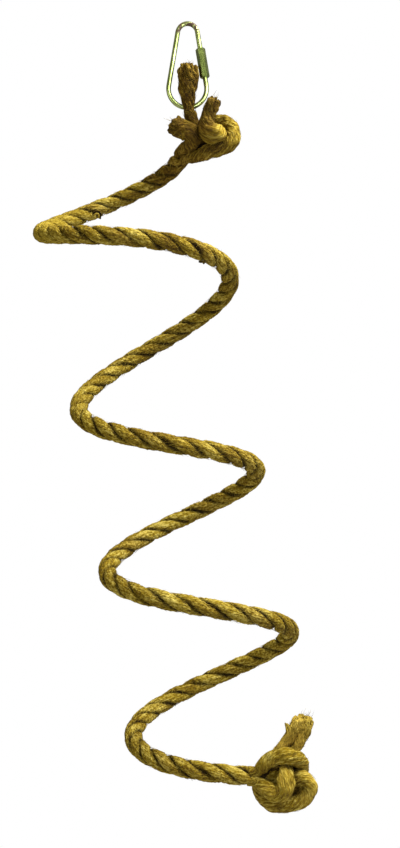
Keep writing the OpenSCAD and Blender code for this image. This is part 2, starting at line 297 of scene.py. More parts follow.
def skin(name, tubes):
    """One mesh from several tubes. A tube is its rings of points (rings, sides, 3), the
    distance round it in metres at each point, the distance along it at each ring, how much
    shade is painted at each point, from 0 to 1 where it lies deep in the lay, or down to -1
    where the lay is rubbed and painted in a flat tone that partly stands in for even light,
    and how weathered and how darkly shaded it is painted, from below 0 where it is fresh to
    above 1 where it is darkest, partly grime and partly painted shade."""
    points, quads, fans, rounds, alongs, depths, ages_and_shades = [], [], [], [], [], [], []
    start = 0
    for rings, around, along, depth, aged in tubes:
        count, sides = rings.shape[:2]
        body = rings.reshape(-1, 3)
        k = np.arange(sides)
        m = (k + 1) % sides
        i = np.arange(count - 1)[:, None] * sides
        quads.append(
            np.stack([i + k, i + m, i + m + sides, i + k + sides], axis=2).reshape(-1, 4) + start
        )
        closing = around[0, -1] * 2 - around[0, -2]
        edge = np.concatenate([around, np.broadcast_to(closing, (count, 1))], axis=1)
        run = np.broadcast_to(along[:, None], edge.shape)
        a = np.arange(count - 1)[:, None]
        for grid, store in ((edge, rounds), (run, alongs)):
            store.append(
                np.stack(
                    [grid[a, k], grid[a, k + 1], grid[a + 1, k + 1], grid[a + 1, k]], axis=2
                ).reshape(-1)
            )
        tips = np.stack([rings[0].mean(axis=0), rings[-1].mean(axis=0)])
        first, last = start + count * sides, start + count * sides + 1
        base = start + (count - 1) * sides
        fans.append(np.stack([np.full(sides, first), start + m, start + k], axis=1))
        fans.append(np.stack([np.full(sides, last), base + k, base + m], axis=1))
        points.append(np.concatenate([body, tips]))
        for grid, store in ((depth, depths), (np.broadcast_to(aged, (count, sides)), ages_and_shades)):
            store.append(np.concatenate([grid.reshape(-1), [grid[0].mean(), grid[-1].mean()]]))
        for end in (0, -1):
            spoke = np.linalg.norm(rings[end] - tips[end], axis=1)
            rounds.append(
                np.stack([np.full(sides, around[end].mean()), around[end], around[end]], axis=1)
                .reshape(-1)
            )
            reach = along[end] + (-spoke if end == 0 else spoke)
            rim = np.full(sides, along[end])
            alongs.append(np.stack([reach, rim, rim], axis=1).reshape(-1))
        start += count * sides + 2
    points = np.concatenate(points)
    # Quads first and then the closing fans, in the order in which the tubes were given
    quad_rounds, fan_rounds = rounds[0::3], [r for i, r in enumerate(rounds) if i % 3]
    quad_alongs, fan_alongs = alongs[0::3], [r for i, r in enumerate(alongs) if i % 3]
    quads, fans = np.concatenate(quads), np.concatenate(fans)
    mesh = bpy.data.meshes.new(name)
    mesh.vertices.add(len(points))
    mesh.vertices.foreach_set("co", points.astype(np.float32).reshape(-1))
    corners = np.concatenate([quads.reshape(-1), fans.reshape(-1)])
    mesh.loops.add(len(corners))
    mesh.loops.foreach_set("vertex_index", corners.astype(np.int32))
    starts = np.concatenate(
        [np.arange(len(quads)) * 4, len(quads) * 4 + np.arange(len(fans)) * 3]
    )
    mesh.polygons.add(len(starts))
    mesh.polygons.foreach_set("loop_start", starts.astype(np.int32))
    mesh.update(calc_edges=True)
    uv = mesh.uv_layers.new(name="lay")
    flat = np.stack([
        np.concatenate(quad_rounds + fan_rounds), np.concatenate(quad_alongs + fan_alongs),
    ], axis=1)
    uv.data.foreach_set("uv", flat.astype(np.float32).reshape(-1))
    for called, values in (("deep", depths), ("aged", ages_and_shades)):
        held = mesh.attributes.new(called, 'FLOAT', 'POINT')
        held.data.foreach_set("value", np.concatenate(values).astype(np.float32))
    mesh.validate()
    mesh.shade_smooth()
    piece = bpy.data.objects.new(name, mesh)
    bpy.context.scene.collection.objects.link(piece)
    return piece


rope_rng = np.random.default_rng(7)
# A laid strand has close sides on its crown, and wide ones inside the rope
crown = np.radians(np.linspace(-124, 124, 22))
inner = np.radians(np.linspace(124, 236, 6))[1:-1]
ring_turn = np.concatenate([crown, inner])
yarn_twist = 170
yarn_round = 3.3 * MM
closing_length = 6 * MM
knot_shadow_length = 90 * MM
lay_wander = 0.1
strand_swell = 0.06
reach_change = 0.035
skin_roughness = 0.055
groove_begin = 0.95
groove_width = 0.85
felt_edges = [-1.0, -0.5]
lay_left_by_felt = [0.12, 1]
felt_depth = -1.1
from_end = np.minimum(rope_at, rope_length - rope_at)
closing_in = np.clip(from_end / closing_length, 0, 1)
closing_in = closing_in * closing_in * (3 - 2 * closing_in)
# Painted shadow of the head knot: the rope is painted darker along its first stretch below the
# knot
knot_shadow_paint = np.clip(1 - rope_at / knot_shadow_length, 0, 1)
# The bends on the left of the coil are rubbed, so that loose fibre hides the lay there, and they
# are painted in a flat tone without the lay's painted shade, which partly stands in for the even
# light on them
middle_heights = [foot_seat[2], coil_top[2]]
middle_places = [foot_seat[0] - coil_radius, coil_top[0]]
coil_middle = np.interp(rope_line[:, 2], middle_heights, middle_places)
sideways = (rope_line[:, 0] - coil_middle) / coil_radius
rub_and_even_light = np.interp(sideways, felt_edges, lay_left_by_felt)
laid_tubes = []
for number in range(3):
    lay_turn = np.radians(lay_start + 120 * number + lay_run)
    lay_turn = lay_turn + lay_wander * closing_in * wave(rope_rng, (4, (60, 220)), rope_at)
    fat = 1 + strand_swell * wave(rope_rng, (5, (80, 420)), rope_at)
    reach = strand_reach * (1 + reach_change * wave(rope_rng, (4, (60, 300)), rope_at))
    out = np.cos(lay_turn)[:, None] * rope_side + np.sin(lay_turn)[:, None] * rope_cross
    over = -np.sin(lay_turn)[:, None] * rope_side + np.cos(lay_turn)[:, None] * rope_cross
    s, t = rope_at[:, None], ring_turn[None, :]
    rough = 1 + skin_roughness * wave(rope_rng, (18, (400, 2400), (1, 6)), s, t)
    high = (end_radius + (strand_high - end_radius) * closing_in * fat)[:, None] * rough
    spread = strand_wide * (1.12 - 0.12 * rub_and_even_light)
    wide = (end_radius + (spread - end_radius) * closing_in * fat)[:, None] * rough
    rings = (
        rope_line[:, None] + (reach[:, None] + high * np.cos(t))[:, :, None] * out[:, None]
        + (wide * np.sin(t))[:, :, None] * over[:, None]
    )
    around = (t + yarn_twist * s) * yarn_round + 0.4 * number
    # Shade is painted in the grooves between the strands, unevenly along the rope
    off_crown = np.abs(np.remainder(t + np.pi, 2 * np.pi) - np.pi)
    groove = np.clip((off_crown - groove_begin) / groove_width, 0, 1)
    depth = groove * (0.75 + 0.5 * wave(rope_rng, (6, (80, 500)), s))
    depth = depth * rub_and_even_light[:, None] + felt_depth * (1 - rub_and_even_light[:, None])
    # Random weathering, plus the head knot's painted shadow on the first stretch
    aged = 0.25 + 0.6 * knot_shadow_paint[:, None] + 0.25 * wave(rope_rng, (5, (20, 120)), s) + 0 * t
    laid_tubes.append((rings, around, rope_at, np.clip(depth, -1, 1), np.clip(aged, 0, 1)))
laid_rope = skin("laid_rope", laid_tubes)


def read_along(where, at, *rows):
    """Points or directions that are known along a line, read at other distances on it."""
    return [np.stack([np.interp(where, at, r[:, k]) for k in range(3)], axis=1) for r in rows]


def circled(line, side, cross, turn, reach):
    """Rings round a line, from the turn of each point round it and its reach from it."""
    ring = np.cos(turn)[:, :, None] * side[:, None] + np.sin(turn)[:, :, None] * cross[:, None]
    return line[:, None] + reach[:, :, None] * ring


def whisker(rng, begin, long, lift, thick, at, line, side, cross, radius, twist):
    """A loose fibre that leaves a strand at a distance along it and lies near its skin."""
    full = at[-1]
    steps = np.linspace(0, 1, 6)
    run = begin + long * steps * rng.uniform(0.4, 1)
    where = np.clip(run, 0, full)
    centre, sides, crosses = read_along(where, at, line, side, cross)
    centre = centre + np.maximum(run - full, 0)[:, None] * np.cross(sides, crosses)
    reach = np.interp(where, at, radius) * 0.97 + lift * steps ** rng.uniform(1, 2.5)
    spin = rng.uniform(0, 2 * np.pi) - twist * (run - begin)
    spin = spin + rng.normal(0, 0.35) * steps + rng.normal(0, 0.3) * steps * steps
    off, over = (reach * np.cos(spin))[:, None], (reach * np.sin(spin))[:, None]
    path = centre + off * sides + over * crosses
    ways, aside = carried(path, (0.3, 0.5, 0.8))
    taper = thick * np.array([1, 1, 1, 0.9, 0.7, 0.3])
    turn = np.radians([[0, 120, 240]])
    rings = circled(path, aside, np.cross(ways, aside), turn, taper[:, None])
    full = 0 * rings[:, :, 0]
    around = turn * 0.0001 + rng.uniform(0, 5) + full
    return rings, around, run, full, rng.uniform(0, 0.5) + full


# Fibre ends stand out of the yarns all along the rope
hair_count = 4400
hair_root = np.full(len(rope_at), 6.1 * MM)
hair_twist = 2 * np.pi / lay_lengths.mean()
hair_tubes = []
for _ in range(hair_count):
    lift = rope_rng.uniform(0.2, 1.25) ** 2 * MM
    hair_tubes.append(whisker(
        rope_rng, rope_rng.uniform(0.002, 0.998) * rope_length, rope_rng.uniform(3, 11) * MM,
        lift, rope_rng.uniform(0.06, 0.12) * MM, rope_at, rope_line, rope_side, rope_cross,
        hair_root, hair_twist,
    ))


def stray_yarn(points, radii, depths, aged):
    """A yarn or tuft that stands away from its strand, through points in millimetres. Its
    radii and depths are spaced evenly along it."""
    spots = np.linspace(0, len(points) - 1, 40)
    line, at = even_steps(eased(np.array(points) * MM, spots), 0.3 * MM)
    thick, deep = (
        np.interp(at / at[-1], np.linspace(0, 1, len(values)), values)[:, None]
        for values in (radii, depths)
    )
    thick = thick * MM
    plies, ply_relief, ply_twist = 3, 0.12, 900
    ways, aside = carried(line, (0.3, 0.5, 0.8))
    turn = np.linspace(0, 2 * np.pi, 12, endpoint=False)[None, :]
    reach = thick * (1 + ply_relief * np.sin(plies * turn + ply_twist * at[:, None]))
    rings = circled(line, aside, np.cross(ways, aside), turn, reach)
    full = 0 * reach
    return rings, turn * thick.max() + full, at, deep + full, aged + full


# A dark tuft hangs under the coil's first front stretch, with painted shade that deepens towards
# its ends
tuft_yarns = (
    ([[16.2, -39, -173], [14.2, -40.5, -174.9], [12.2, -41.2, -176.1], [10, -41.2, -176.6],
      [8.2, -41, -176.3]],
     [1.1, 1.3, 1.1, 0.8, 0.75], [0.1, 0.1, 0.3, 0.5, 1], 0.6),
    ([[15, -40, -174], [13.4, -41, -175.8], [12.2, -41, -176.9], [11.2, -41, -177.9]],
     [1.0, 1.1, 0.8, 0.55], [0.2, 0.4, 0.8, 1], 0.6),
)
# Near the first left bend a pale loop of yarn is pulled out of its strand, and a thin dark yarn
# round it is painted as the shadow of its hollow
loop_yarns = (
    ([[-73.4, 52.4, -128.4], [-72.8, 51.4, -127.1], [-71.4, 51.2, -125.9],
      [-69.4, 51.6, -125.6], [-67.6, 52.4, -126.4], [-67, 53.8, -128.2], [-68, 56.6, -130.4]],
     [0.3, 0.5, 0.55, 0.55, 0.5, 0.6, 0.8], [1], 0.8),
    ([[-72.6, 53, -128.8], [-71.4, 51.8, -127.6], [-69.6, 51.8, -127.2], [-68.4, 53, -128.4],
      [-69, 55.8, -130.2]],
     [0.5, 0.7, 0.75, 0.7, 0.5], [0], -0.4),
)
for yarn in tuft_yarns + loop_yarns:
    hair_tubes.append(stray_yarn(*yarn))
rope_hairs = skin("rope_hairs", hair_tubes)


class Socket:
    """A socket of a material's nodes, which sums and products of it lead on from."""

    def __init__(self, tree, socket=None):
        self.tree = tree
        self.socket = socket

    def node(self, kind, settings=None, inputs=None, out=0):
        made = self.tree.nodes.new(kind)
        for name, value in (settings or {}).items():
            if name == "stops":
                ramp = made.color_ramp
                while len(ramp.elements) < len(value):
                    ramp.elements.new(0.5)
                for element, (place, colour) in zip(ramp.elements, value):
                    element.position = place
                    element.color = colour
            else:
                setattr(made, name, value)
        for name, value in (inputs or {}).items():
            if isinstance(value, Socket):
                self.tree.links.new(value.socket, made.inputs[name])
            else:
                made.inputs[name].default_value = value
        return Socket(self.tree, made.outputs[out])

    def math(self, operation, other=0.0, clamp=False):
        return self.node(
            "ShaderNodeMath", {"operation": operation, "use_clamp": clamp}, {0: self, 1: other}
        )

    def __add__(self, other):
        return self.math('ADD', other)

    def __sub__(self, other):
        return self.math('SUBTRACT', other)

    def __mul__(self, other):
        return self.math('MULTIPLY', other)

    def __rsub__(self, other):
        return self * -1 + other

    __radd__, __rmul__ = __add__, __mul__

    def band(self, low, high):
        """0 below low, 1 above high, and a straight slope between."""
        return self.node(
            "ShaderNodeMapRange", {"clamp": True},
            {"Value": self, "From Min": low, "From Max": high, "To Min": 0.0, "To Max": 1.0},
        )

    def blend(self, first, second):
        """This number mixes two colours."""
        return self.node(
            "ShaderNodeMix", {"data_type": 'RGBA'}, {0: self, 6: first, 7: second}, out=2
        )


def colour(red, green, blue):
    """A colour as a paint chart gives it, from 0 to 255, in the render's own light."""

    def light(v):
        v = v / 255
        return v / 12.92 if v <= 0.04045 else ((v + 0.055) / 1.055) ** 2.4

    return (light(red), light(green), light(blue), 1)


def rope_fibre(name, yarn_width):
    """Dry plant fibre: yarns so many millimetres wide, side by side in a strand, with fine
    fibres along them."""
    fibre = bpy.data.materials.new(name)
    fibre.use_nodes = True
    tree = fibre.node_tree
    shader = tree.nodes["Principled BSDF"]
    shader.inputs["Specular IOR Level"].default_value = 0.08
    base = Socket(tree)
    lay = base.node("ShaderNodeUVMap", {"uv_map": "lay"})

    def streaks(across, along, detail, shift=0.0):
        """Noise drawn out along the yarns: its size across and along them, in mm."""
        drawn = base.node(
            "ShaderNodeMapping", {"vector_type": 'POINT'},
            {"Vector": lay, "Location": (shift, 0, 0), "Scale": (1000 / across, 1000 / along, 1)},
        )
        return base.node(
            "ShaderNodeTexNoise", {"noise_dimensions": '2D'},
            {"Vector": drawn, "Scale": 1.0, "Detail": detail, "Roughness": 0.6},
        )

    where = base.node("ShaderNodeTexCoord", out=3)
    patches = base.node(
        "ShaderNodeTexNoise", {}, {"Vector": where, "Scale": 45.0, "Detail": 3.0, "Roughness": 0.6}
    )
    yarns = streaks(yarn_width, 17, 1.0, 3.0)
    tufts = streaks(1.15, 2.4, 2.0, 7.0)
    fibres = streaks(0.42, 4, 3.0, 11.0)
    fine = streaks(0.2, 2.6, 2.0, 23.0)
    deep = base.node("ShaderNodeAttribute", {"attribute_name": "deep"}, out=2)
    aged = base.node("ShaderNodeAttribute", {"attribute_name": "aged"}, out=2)
    dark = aged.blend(colour(96, 70, 4), colour(52, 31, 0))
    middle = aged.blend(colour(150, 126, 20), colour(104, 78, 8))
    pale = aged.blend(colour(224, 206, 110), colour(174, 146, 60))
    felt_and_even_light = colour(164, 142, 46)
    fresh = colour(232, 198, 84)
    shadow = colour(36, 22, 0)
    # Fibres run from dark to pale, with fine pale ones among them
    tone = yarns * 0.6 + tufts * 0.7 + fibres * 0.5 + patches * 0.7
    paint = tone.band(0.95, 1.3).blend(dark, middle)
    paint = tone.band(1.26, 1.62).blend(paint, pale)
    paint = (fine.band(0.58, 0.7) * 0.42).blend(paint, pale)
    # Depths below 0 are rubbed to an even felt, a flat tone that partly stands in for even light,
    # and ages below 0 are fresh and golden
    paint = (deep * -0.62).math('MAXIMUM', 0.0).blend(paint, felt_and_even_light)
    paint = (aged * -0.9).math('MAXIMUM', 0.0).blend(paint, fresh)
    # Painted shade lies between the tufts and in the grooves of the lay, and more painted shade
    # where the age and shade value is above 1, on the head knot's darkest parts
    shade = (1 - tufts.band(0.3, 0.5)) * (0.35 + deep.math('MINIMUM', 0.0) * 0.3)
    shade = shade + deep.band(0.1, 0.95) * 0.85 + (aged - 1.0).math('MAXIMUM', 0.0) * 0.6
    paint = shade.math('MINIMUM', 0.94).blend(paint, shadow)
    tree.links.new(paint.socket, shader.inputs["Base Color"])
    tree.links.new((0.92 - fibres * 0.18).socket, shader.inputs["Roughness"])
    rows = base.node("ShaderNodeSeparateXYZ", {}, {"Vector": lay})
    ridge = (rows * (math.pi * 1000 / yarn_width) + yarns * 4.0).math('SINE').math('ABSOLUTE')
    height = ridge * 0.35 + tufts * 0.9 + fibres * 0.6 + fine * 0.25
    relief = base.node(
        "ShaderNodeBump", {}, {"Strength": 1.0, "Distance": 0.0009, "Height": height}
    )
    tree.links.new(relief.socket, shader.inputs["Normal"])
    return fibre


laid_fibre = rope_fibre("laid rope fibre", yarn_width=1.9)
for piece in (laid_rope, rope_hairs):
    piece.data.materials.append(laid_fibre)
    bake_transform(piece)
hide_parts("rope_coil")

# Core wire
# Soft steel wire in the middle of the lay, put in while the rope was made. It is cut off
# flush with both ends of the laid rope and keeps the coil in its shape.
core_radius = np.full((1, 1), 1.0 * MM)
core_turn = np.radians(np.arange(8) * 45)[None]
core_rings = circled(rope_line[::4], rope_side[::4], rope_cross[::4], core_turn, core_radius)
core_around = np.broadcast_to(core_turn * core_radius, core_rings.shape[:2])
core_run = skin(
    "core_wire_run",
    [(core_rings, core_around, rope_at[::4], np.zeros(core_rings.shape[:2]), 0)],
)
bare_wire = bpy.data.materials.new("drawn steel wire")
bare_wire.use_nodes = True
wire_shader = bare_wire.node_tree.nodes["Principled BSDF"]
wire_shader.inputs["Metallic"].default_value = 1.0
base = Socket(bare_wire.node_tree)
drawn = base.node(
    "ShaderNodeMapping", {},
    {"Vector": base.node("ShaderNodeUVMap", {"uv_map": "lay"}), "Scale": (9000, 60, 1)},
)
marks = base.node("ShaderNodeTexNoise", {}, {"Vector": drawn, "Scale": 1.0, "Detail": 2.0})
steel_paint = marks.blend(colour(110, 108, 104), colour(168, 168, 164))
bare_wire.node_tree.links.new(steel_paint.socket, wire_shader.inputs["Base Color"])
bare_wire.node_tree.links.new((marks * 0.3 + 0.25).socket, wire_shader.inputs["Roughness"])
core_run.data.materials.append(bare_wire)
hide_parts("core_wire")
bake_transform(core_run)

# Quick link
# Pear-shaped link bent from steel wire and plated with bright zinc, which has a greenish
# cast. A thread is cut on both sides of its gate, and a six-sided sleeve nut of the same
# plating runs on it and closes the gate.
wire_radius = 1.75 * MM
thread_crest = 1.87 * MM
thread_root = 1.6 * MM
thread_pitch = 0.8 * MM
ridge_foot_share = 0.9
ridge_crest_share = 0.2
ridge_sides = 14
low_bow_radius = 13.8 * MM
low_bow_z = -45.45 * MM
bow_radius_change = 6.6
bow_distance = 40
limb_slant = math.asin(bow_radius_change / bow_distance)
stub_thread = (5.5 * MM, 7.9 * MM)
limb_thread = (15.8 * MM, 37.4 * MM)
limb_foot = (
    low_bow_radius * math.cos(limb_slant), 0, low_bow_z + low_bow_radius * math.sin(limb_slant),
)


def zinc(name, dull, bright, stain_z):
    """Bright zinc plating on steel, with brown specks above a height."""
    plating = bpy.data.materials.new(name)
    plating.use_nodes = True
    tree = plating.node_tree
    shader = tree.nodes["Principled BSDF"]
    shader.inputs["Coat Roughness"].default_value = 0.12
    base = Socket(tree)
    spot = base.node("ShaderNodeTexCoord", out=3)
    clouds = base.node("ShaderNodeTexNoise", {}, {"Vector": spot, "Scale": 160.0, "Detail": 3.0})
    grain = base.node("ShaderNodeTexNoise", {}, {"Vector": spot, "Scale": 1500.0, "Detail": 2.0})
    specks = base.node("ShaderNodeTexNoise", {}, {"Vector": spot, "Scale": 420.0, "Detail": 3.0})
    high = base.node("ShaderNodeSeparateXYZ", {}, {"Vector": spot}, out=2)
    stain = high.band(stain_z, stain_z + 0.004) * specks.band(0.44, 0.52)
    paint = stain.blend(clouds.band(0.35, 0.65).blend(dull, bright), colour(74, 48, 14))
    tree.links.new(paint.socket, shader.inputs["Base Color"])
    tree.links.new((0.9 - stain * 0.9).socket, shader.inputs["Metallic"])
    tree.links.new((1.0 - stain).socket, shader.inputs["Coat Weight"])
    tree.links.new((clouds * 0.2 + 0.16 + stain * 0.5).socket, shader.inputs["Roughness"])
    marks = base.node(
        "ShaderNodeBump", {},
        {"Strength": 0.07, "Distance": 0.0001, "Height": grain * 0.15 + clouds + stain * 9.0},
    )
    tree.links.new(marks.socket, shader.inputs["Normal"])
    return plating


stained_above = -8 * MM
plated = zinc("zinc plating", colour(134, 152, 70), colour(178, 192, 122), stained_above)
# The nut's plating is painted darker, as the dim surroundings that it reflects, and the nut lies
# below all stain
nut_plated = zinc("zinc plating of the nut", colour(102, 120, 46), colour(140, 156, 82), 1.0)
for node, plating in (("link_body", plated), ("link_nut", nut_plated)):
    for piece in bpy.data.objects:
        if piece.type == 'MESH' and piece.name.startswith(node):
            piece.data.materials.clear()
            piece.data.materials.append(plating)


def thread_ridge(name, begin, end):
    """The ridge of a thread on the link's right limb, between two places along it."""
    bpy.ops.object.select_all(action='DESELECT')
    upright = (math.radians(90), 0, 0)
    bpy.ops.mesh.primitive_plane_add(size=1, location=(0, 0, 0), rotation=upright)
    ridge = bpy.context.object
    ridge.name = name
    ridge.scale = (thread_crest - thread_root, thread_pitch * ridge_foot_share, 1)
    middle = (thread_crest + thread_root) / 2
    ridge.location = (middle, 0, begin)
    bpy.ops.object.transform_apply(location=True, rotation=True, scale=True)
    for vertex in ridge.data.vertices:
        vertex.select = vertex.co.x > middle
    bpy.ops.object.mode_set(mode='EDIT')
    narrowed = (1, 1, ridge_crest_share)
    bpy.ops.transform.resize(value=narrowed, center_override=(thread_crest, 0, begin))
    bpy.ops.mesh.select_all(action='SELECT')
    bpy.ops.mesh.delete(type='ONLY_FACE')
    bpy.ops.object.mode_set(mode='OBJECT')
    turn = ridge.modifiers.new("turns", 'SCREW')
    turn.axis = 'Z'
    turn.screw_offset = thread_pitch
    turn.iterations = int((end - begin) / thread_pitch)
    turn.steps = turn.render_steps = ridge_sides
    bpy.ops.object.modifier_apply(modifier="turns")
    bpy.ops.object.mode_set(mode='EDIT')
    bpy.ops.mesh.select_all(action='SELECT')
    bpy.ops.mesh.fill_holes(sides=4)
    bpy.ops.mesh.normals_make_consistent(inside=False)
    bpy.ops.object.mode_set(mode='OBJECT')
    ridge.rotation_euler = (0, -limb_slant, 0)
    ridge.location = limb_foot
    bpy.ops.object.transform_apply(location=True, rotation=True, scale=True)
    ridge.data.materials.append(plated)
    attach(ridge, "link")


thread_ridge("stub_thread", *stub_thread)
thread_ridge("limb_thread", *limb_thread)

# Opened strands
# At both ends the rope is unlaid for a hand's breadth and its three strands are tucked
# through each other. Each strand is a bundle of yarns that turn slowly round each other,
# and its cut end frays into yarn ends and loose fibres.
laid_d = rope_d * 0.42
laid_offset = (rope_d - laid_d) / 2
opening_share = 0.26
opening_clearance = 0.4 * MM
run_in = 4 * MM
run_in_share = 0.92
past_end_share = 0.55
body_sides = 54
yarn_count = 9
yarn_relief = 0.1
body_roughness = 0.055
end_rings = 14
end_sides = 9
outermost_end = 0.86
golden_turn = 2.39996


def opened_strand(
    seat, along, lay_angle, anchor, shares, widths, seed, plump, weather_and_shade,
    ends, past_tip, splay, end_width, fall_short, fibres,
):
    """The tubes of one strand: its body, its yarn ends and its loose fibres. Its route lies in
    strand diameters from the anchor. Plump is how much it fills out, and weather_and_shade how
    dark it is painted, by weathering and by painted shade, at some of the route's points. The
    ends reach past the tip by past_tip at most, splay by a share, have end_width of the tip's
    radius or a little more, and fall short most at the rim."""
    rng = np.random.default_rng(seed)
    upward = unit(up - along * (up @ along))
    turn = math.radians(lay_angle)
    spoke = laid_offset * (math.cos(turn) * upward + math.sin(turn) * np.cross(along, upward))
    start = seat + spoke + opening_clearance * along
    points = np.concatenate([
        [start, start + opening_share * rope_d * along], anchor + strand_d * np.array(shares),
    ])
    opened = strand_d * np.array(widths[2:]) / 2
    radii = np.concatenate([[laid_d / 2, laid_d / 2 * widths[1] / widths[0]], opened])
    fine = np.linspace(0, len(points) - 1, 60 * len(points))
    route = np.concatenate([[start - run_in * along], eased(points, fine)])
    radius = np.concatenate([[laid_d / 2 * run_in_share], eased(radii, fine)])
    fine_place = np.concatenate([[0], fine]) - 2
    swell = np.interp(fine_place, [p for p, _ in plump], [v for _, v in plump])
    radius = radius * swell
    # The solid model's rounded end is filled by the cut end's yarns
    tip = route[-1] + past_end_share * radius[-1] * unit(route[-1] - route[-2])
    route = np.concatenate([route, [tip]])
    radius = np.append(radius, radius[-1])
    knots = np.concatenate([[0], fine, fine[-1:] + 0.5])
    gone = np.concatenate([[0], np.cumsum(np.linalg.norm(np.diff(route, axis=0), axis=1))])
    line, at = even_steps(route, 0.6 * MM)
    radius = np.interp(at, gone, radius)
    # Its own points are counted from the third on, as in the tables of routes
    place = np.interp(at, gone, knots) - 2
    aged = np.interp(place, [p for p, _ in weather_and_shade], [v for _, v in weather_and_shade])
    full = at[-1]
    tip_radius = radius[-1]
    # The body draws in at its cut end, inside the yarn ends
    draw_in = np.array([0, 0.8, 3, 6]) * MM
    radius = radius * np.interp(full - at, draw_in, [0.35, 0.66, 0.82, 1])
    tangent, side = carried(line, upward)
    cross = np.cross(tangent, side)
    t = np.linspace(0, 2 * np.pi, body_sides, endpoint=False)[None, :]
    s = at[:, None]
    twist = 95 + 30 * rng.random()
    turned = t + twist * s + 0.25 * wave(rng, (3, (40, 160)), s)
    ridge = np.abs(np.cos(turned * yarn_count / 2)) ** 0.6
    uneven = body_roughness * wave(rng, (12, (150, 900), (1, 4)), s, t)
    reach = radius[:, None] * (1 - yarn_relief * (1 - ridge) + uneven)
    # Shade is painted in the hollows between the body's yarns
    body = (
        circled(line, side, cross, t, reach),
        turned * strand_d / 2 + 0.3 * seed,
        at,
        np.clip(0.4 - ridge * 0.9, 0, 1) * (0.8 + 0.3 * wave(rng, (6, (80, 500)), s)),
        aged[:, None] + 0.2 * wave(rng, (8, (60, 300), (1, 2)), s, t),
    )
    tubes = [body]
    out = tangent[-1]
    for number in range(ends):
        off_centre = math.sqrt((number + 0.5) / ends) * outermost_end
        bearing = number * golden_turn
        width = tip_radius * rng.uniform(end_width, end_width + 0.06)
        past = past_tip * rng.uniform(-0.3, 1) - fall_short * off_centre ** 3
        run = np.linspace(full - rng.uniform(7, 12) * MM, full + past, end_rings)
        spread = np.interp(run, [full - 9 * MM, full + 2 * MM], [1, 1 + splay])
        wander = 0.12 * tip_radius * wave(rng, (3, (300, 900)), run)
        centre, sides, crosses = read_along(np.minimum(run, full), at, line, side, cross)
        centre = centre + np.maximum(run - full, 0)[:, None] * out
        spin = bearing - twist * (run - full) * 0.5
        off = off_centre * tip_radius * spread + wander
        off, over = (off * np.cos(spin))[:, None], (off * np.sin(spin))[:, None]
        path = centre + off * sides + over * crosses
        ways, aside = carried(path, side[-1])
        taper = np.interp(np.arange(end_rings), [0, 9, 12, 13], [1, 1, 0.85, 0.5])
        k = np.linspace(0, 2 * np.pi, end_sides, endpoint=False)[None, :]
        lumpy = 1 + 0.06 * wave(rng, (4, (500, 1500), (1, 3)), run[:, None], k)
        reach = width * taper[:, None] * lumpy
        rings = circled(path, aside, np.cross(ways, aside), k, reach)
        # Yarn ends take a little painted shade towards their tips, more on darker strands
        tip_dark = 0.05 + 0.3 * max(aged[-1], 0) * rng.random()
        dark = np.interp(np.arange(end_rings), [0, 10, 13], [0.05, 0.05, tip_dark])
        worn = aged[-1] + rng.uniform(-0.3, 0.15)
        around = k * width + rng.uniform(0, 3) + 0 * reach
        tubes.append((rings, around, run, dark[:, None] + 0 * reach, worn))
    for _ in range(fibres):
        tubes.append(whisker(
            rng, rng.uniform(0.02, 1) ** 0.7 * full, rng.uniform(3, 9) * MM,
            rng.uniform(0.2, 1.15) ** 2 * MM, rng.uniform(0.06, 0.12) * MM, at, line, side,
            cross, radius, twist,
        ))
    return tubes


def heart(anchor, shares, radius):
    """Yarns pressed together in the heart of a knot, painted dark as the shade of the strands
    round them.
    """
    spots = np.linspace(0, len(shares) - 1, 60)
    line, at = even_steps(eased(anchor + strand_d * np.array(shares), spots), 1 * MM)
    tangent, side = carried(line, up)
    t = np.linspace(0, 2 * np.pi, 20, endpoint=False)[None, :]
    round_end = np.sqrt(np.clip(np.minimum(at, at[-1] - at) / radius, 0.05, 1))[:, None]
    rings = circled(line, side, np.cross(tangent, side), t, radius * round_end)
    full = 0 * rings[:, :, 0]
    return rings, t * radius + full, at, 0.8 + full, 0.9 + full


knot_fibre = rope_fibre("opened strand fibre", yarn_width=1.6)

# Head knot
# Three strands in a knot a little over the top of the coil. One makes the large bight on
# the right and rises to hold the link in its eye, one turns off to the left, and one
# bulges out of the bight and stands up on the right.

# The routes and widths are the solid model's, but the left tail ends 1.5 mm sooner here
eye_route_shares = [
    [0.15, 1.75, -4], [0.75, 0.8, -4.05], [1.55, 0.1, -3.88], [2.4, -0.15, -3.62],
    [3.25, -0.25, -3.48], [3.9, -0.3, -2.92], [3.95, -0.2, -2], [3.45, 0, -1.25],
    [2.65, 0.35, -1], [2, 1.05, -1.1], [1.6, 1.4, -1.6], [1.1, 0.65, -2.3],
    [0.62, 0.15, -1.7], [0.25, 0, -0.75], [0.1, -0.05, 0.3], [0, -0.15, 1.4],
    [0.05, -0.3, 2.4], [0.1, -0.4, 3.05],
]
eye_width_shares = [
    0.64, 0.66, 0.84, 0.98, 1.1, 1.14, 1.16, 1.2, 1.22, 1.2, 1.1, 1, 0.94, 0.92, 0.98,
    1.1, 0.88, 1.5, 1.6, 1.62,
]
eye_plump = (
    (-2, 1.4), (-0.5, 1.3), (1, 1.15), (3, 1.2), (5, 1.25), (6.2, 1.05), (9, 0.97), (11, 1.1),
)
